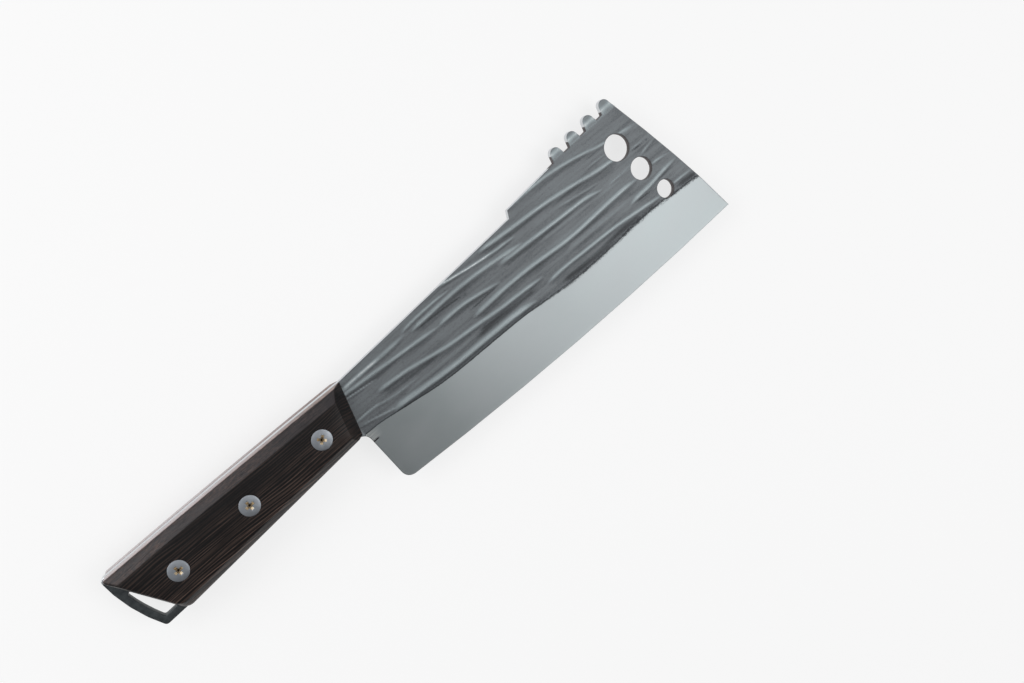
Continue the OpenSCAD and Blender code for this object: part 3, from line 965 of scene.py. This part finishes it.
def dark_wood():
    """Near-black oiled wood: crisp brown lines that sag along the scales, mottled brown towards the spine,
    where the spine-facing bevel is painted lighter towards the rear as painted light.
    """
    f = Finish("dark_wood")
    x, y, z = f.split(f.place)
    from_butt = f.minus(x, scale_low.x)
    # the lines run level at both ends and drop towards the edge between
    length, sag = scale_high.x - scale_low.x, 0.043
    sine = f.maths("SINE", f.times(from_butt, 2 * math.pi / length))
    bend = f.plus(f.times(from_butt, -sag), f.times(sine, sag * length / (2 * math.pi)))
    sway = f.noise((14, 55, 55), 2)
    depth = f.minus(f.maths("ABSOLUTE", f.minus(z, mid_z)), half_steel + scale_t)
    level = f.plus(f.minus(y, bend), f.spread(sway, 0.3, 0.7, -1.0 * MM, 1.0 * MM))
    level = f.minus(level, f.times(depth, 0.3))

    def lined(along_scale, across_scale, shift):
        """Noise that is drawn out along the lines."""
        return f.grain(f.vector(f.times(x, along_scale), f.times(level, across_scale),
                                f.plus(f.times(z, 30), shift)), 2.0)

    spacing = 1.22 * MM
    phase = f.plus(f.times(level, 2 * math.pi / spacing), f.times(lined(16, 330, 2.0), 9.0))
    rings = f.spread(f.maths("SINE", phase), 0.25, 0.95)
    rings = f.times(rings, f.spread(lined(9, 520, 5.0), 0.36, 0.58, 0.12, 1.0))
    rings = f.times(rings, f.spread(lined(95, 800, 8.0), 0.36, 0.50, 0.45, 1.0))
    threads = f.times(f.spread(lined(26, 2500, 11.0), 0.50, 0.64), 0.42)
    pore = f.spread(lined(80, 3600, 0.0), 0.32, 0.44)
    mottle = f.noise((420, 1250, 1250), 4, 0.65)
    patch = f.noise((55, 150, 150), 2, shift=(0.7, 0.2, 0))
    facing_spine = f.split(f.node("ShaderNodeTexCoord").outputs["Normal"])[1]
    flank = f.spread(facing_spine, 0.80, 0.95)
    bevel = f.times(f.spread(facing_spine, 0.18, 0.42), f.minus(1.0, flank))
    rear = f.spread(x, scale_low.x, scale_high.x, 1.0, 0.0)
    line_share = f.times(f.maths("MAXIMUM", rings, threads), f.spread(rear, 0, 1, 0.6, 1.0))
    line_share = f.times(line_share, f.spread(patch, 0.35, 0.6, 0.55, 1.0))
    line_share = f.times(line_share, f.spread(f.minus(y, screw_y), -6 * MM, 6 * MM, 1.0, 0.38))
    brown = f.times(f.spread(mottle, 0.42, 0.64), f.spread(patch, 0.38, 0.62, 0.25, 1.0))
    # the spine-facing bevel's brown, lighter at the rear: partly mottled wood, partly painted light where the
    # spine-side light falls
    brown_and_painted_light = f.mix(rear, (0.050, 0.038, 0.037), (0.115, 0.075, 0.064))
    colour = f.mix(line_share, (0.0042, 0.0038, 0.0042), (0.135, 0.088, 0.070))
    colour = f.mix(f.times(bevel, 0.8), colour, f.mix(brown, (0.024, 0.0205, 0.0225), brown_and_painted_light))
    colour = f.mix(1.0, colour, f.mix(pore, (0.45, 0.43, 0.43), (1, 1, 1)), "MULTIPLY")
    side_tone = f.mix(f.spread(mottle, 0.4, 0.62), (0.115, 0.080, 0.080), (0.36, 0.25, 0.21))
    rough = f.plus(0.36, f.spread(mottle, 0.3, 0.7, -0.06, 0.08))
    normal = f.bump(rings, 0.04 * MM, 0.4, f.bump(pore, 0.06 * MM, 0.45))
    # the spine side is polished by the hand, most of all behind; the coat's lilac tint there is a painted
    # tint of the flank's lilac reflection
    polish_and_painted_tint = f.times(flank, f.spread(x, scale_low.x + 45 * MM, scale_high.x - 12 * MM, 1.0, 0.0))
    f.set(Base_Color=f.mix(flank, colour, side_tone), Roughness=rough, Normal=normal,
          Specular_IOR_Level=0.28, Coat_Weight=polish_and_painted_tint, Coat_IOR=1.75, Coat_Roughness=0.16,
          Coat_Tint=(1.0, 0.94, 1.0, 1))
    return f.material


def screw_steel():
    """Satin steel, whose recess keeps its yellow plating under the rubbed face, turning dark deeper down as
    painted shade.
    """
    f = Finish("screw_steel")
    fine = f.noise((3200, 3200, 3200), 2)
    cloud = f.noise((260, 260, 260), 2)
    bright = f.mix(f.spread(cloud, 0.35, 0.65), (0.40, 0.43, 0.465), (0.44, 0.47, 0.505))
    depth = f.split(f.place)[2]
    sunk, deep = (f.spread(depth, cad_high.z - start * MM, cad_high.z - end * MM)
                  for start, end in ((0.12, 0.3), (0.95, 1.25)))
    # yellow plating near the top of the recess, dark brown deeper down as painted shade
    plating_and_painted_shade = f.mix(deep, (0.92, 0.80, 0.60), (0.16, 0.12, 0.08))
    f.set(Base_Color=f.mix(sunk, bright, plating_and_painted_shade), Metallic=1.0, Normal=f.bump(fine, 0.02 * MM, 0.3),
          Roughness=f.spread(fine, 0.3, 0.7, 0.38, 0.48))
    return f.material


steel_finishes = (
    blade_faces(),
    plain_steel("edge_steel", (300, 300, 1800), 3, ((0.66, 0.68, 0.70),), 1.0, (0.28, 0.36), 0.02, 0.2),
    # the walls of the holes and of the gaps between the teeth, painted dark as painted shade
    plain_steel("dark_wall_scale", (600, 600, 300), 3, ((0.05, 0.042, 0.042), (0.13, 0.115, 0.115)), 0.5,
                (0.45, 0.6), 0.04, 0.4),
    plain_steel("dark_tang_steel", (500, 500, 500), 4, ((0.055, 0.062, 0.066), (0.085, 0.095, 0.1)), 0.75,
                (0.42, 0.52), 0.03, 0.3),
)
wood, satin = dark_wood(), screw_steel()

# The holes in the blade as middle and radius, and the gaps between the teeth, whose walls get painted shade
holes_mm = ((167.93, 6.2, 6.2), (171.37, -8.5, 5.3), (174.82, -23.2, 4.3))
tooth_gaps_x_mm, tooth_gaps_y_mm = (137, 178), (19.5, 22.9)
upright_below, loop_below_mm = 0.45, 15.0


def finish_blade(obj):
    """Each face of the steel gets the finish of its place: face, bright edge, a wall painted dark as painted
    shade, or dark tang.
    """
    mesh = obj.data
    for material in steel_finishes:
        mesh.materials.append(material)
    face, edge, wall, tang = range(4)
    centre, normal = (np.zeros(len(mesh.polygons) * 3, np.float32) for _ in range(2))
    mesh.polygons.foreach_get("center", centre)
    mesh.polygons.foreach_get("normal", normal)
    centre, normal = centre.reshape(-1, 3), normal.reshape(-1, 3)
    x, y = in_mm(centre)
    upright = np.abs(normal[:, 2]) < upright_below
    # walls in the tooth gaps and around the holes get the painted shade
    dark = (x > tooth_gaps_x_mm[0]) & (x < tooth_gaps_x_mm[1])
    dark &= (y > tooth_gaps_y_mm[0]) & (y < tooth_gaps_y_mm[1])
    for hole_x, hole_y, r in holes_mm:
        dark |= np.hypot(x - hole_x, y - hole_y) < r + 0.8
    slot = np.where(upright, np.where(dark, wall, edge), face)
    behind = x < scale_front_mm - scale_len_mm - y * math.tan(butt_angle) + 1.5
    slot = np.where(behind, np.where(y < loop_below_mm, tang, edge), slot)
    mesh.polygons.foreach_set("material_index", slot.astype(np.int32))


finish_blade(blade)
for piece in (front_wood, back_wood):
    piece.data.materials.append(wood)

screw_tree, nut_tree = cross_screw_tree(), barrel_nut_tree()
recess_turns = [math.radians(a) for a in (42, 0, 4)]
screws, nuts = [], []
for node, place, turn in zip(screw_nodes, screw_middles, recess_turns):
    low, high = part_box(node)
    screws.append(grown(node + "_turned", screw_tree, Turn=turn, Place=(place.x, place.y, high.z),
                        Shank_length=high.z - low.z - screw_head_t, Material=satin))
for node, place in zip(nut_nodes, screw_middles):
    low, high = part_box(node)
    nuts.append(grown(node + "_turned", nut_tree, Place=(place.x, place.y, low.z),
                      Barrel_length=high.z - low.z - screw_head_t, Material=satin))

# ---- the frame


def stands_for(piece, node):
    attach(piece, "root")
    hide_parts(node)


stands_for(blade, "blade")
stands_for(front_wood, "front_scale")
stands_for(back_wood, "back_scale")
for piece, node in zip(screws + nuts, screw_nodes + nut_nodes):
    stands_for(piece, node)

# ---- camera, floor and light

camera_data = bpy.data.cameras.new("camera")
camera_data.sensor_width = 36
camera_data.lens = 36.22
camera_data.clip_start, camera_data.clip_end = 0.01, 20
camera = placed("camera", camera_data)
right = Vector((0.72414, -0.62369, 0.29432)).normalized()
forward = Vector((0.15744, -0.26600, -0.95103)).normalized()
up = -forward.cross(right).normalized()
eye = Vector((heel_x + 0.00228, screw_y + 0.09478, mid_z + 0.43665))
camera.matrix_world = Matrix.Translation(eye) @ Matrix((right, up, -forward)).transposed().to_4x4()
bpy.context.scene.camera = camera

white = (1, 1, 1, 1)


def make_floor():
    size, under = 6.0, 0.2 * MM
    corners = [(-size, -size, 0), (size, -size, 0), (size, size, 0), (-size, size, 0)]
    floor = mesh_object("floor", corners, [(0, 1, 2, 3)])
    floor.location.z = cad_low.z - under
    f = Finish("pale_floor")
    f.set(Base_Color=(0.93, 0.93, 0.935, 1), Roughness=0.9, Specular_IOR_Level=0.1)
    path = f.node("ShaderNodeLightPath").outputs
    seen = f.maths("MAXIMUM", path["Is Camera Ray"], path["Is Glossy Ray"])
    seen = f.maths("MAXIMUM", seen, path["Is Transmission Ray"])
    glow = f.out("ShaderNodeEmission", Color=white, Strength=1.0)
    mixed = f.blend(f.times(seen, 0.72), f.shader.outputs[0], glow)
    f.give(f.tree.nodes["Material Output"].inputs[0], mixed)
    floor.data.materials.append(f.material)


def make_world():
    """A white backdrop for the camera, and for metal a studio that is bright on the spine side and darker
    on the edge side."""
    world = bpy.data.worlds.new("studio")
    bpy.context.scene.world = world
    world.use_nodes = True
    w = Nodes(world.node_tree)
    w.tree.nodes.clear()
    path = w.node("ShaderNodeLightPath").outputs
    sideways = w.split(w.node("ShaderNodeTexCoord").outputs["Generated"])[1]
    stops = ((0.0, 0.08), (0.22, 0.12), (0.36, 0.22), (0.52, 0.34), (0.70, 0.65), (1.0, 0.9))
    studio = w.ramp(w.spread(sideways, -1.0, 1.0), [(at, (v, v, v * 1.02)) for at, v in stops])
    soft, mirrored, backdrop = (w.out("ShaderNodeBackground", Color=colour, Strength=strength)
                                for colour, strength in ((white, 0.5), (studio, 1.0), (white, 1.0)))
    seen = w.maths("MAXIMUM", path["Is Camera Ray"], path["Is Transmission Ray"])
    surface = w.blend(seen, w.blend(path["Is Glossy Ray"], soft, mirrored), backdrop)
    w.node("ShaderNodeOutputWorld", Surface=surface)


def softbox(name, place, target, size, watts):
    lamp = bpy.data.lights.new(name, "AREA")
    lamp.shape = "RECTANGLE"
    lamp.size, lamp.size_y = size
    lamp.energy = watts
    obj = placed(name, lamp)
    obj.location = place
    obj.rotation_mode = "QUATERNION"
    obj.rotation_quaternion = (Vector(target) - Vector(place)).to_track_quat("-Z", "Y")


make_floor()
make_world()
softbox("spine_softbox", (-0.42, 0.58, 0.52), (-0.05, 0, 0), (0.7, 0.4), 2.6)
softbox("tip_softbox", (0.44, -0.27, 0.80), (0.10, 0, 0), (0.60, 0.60), 2.1)

bpy.context.scene.view_settings.view_transform = "Standard"
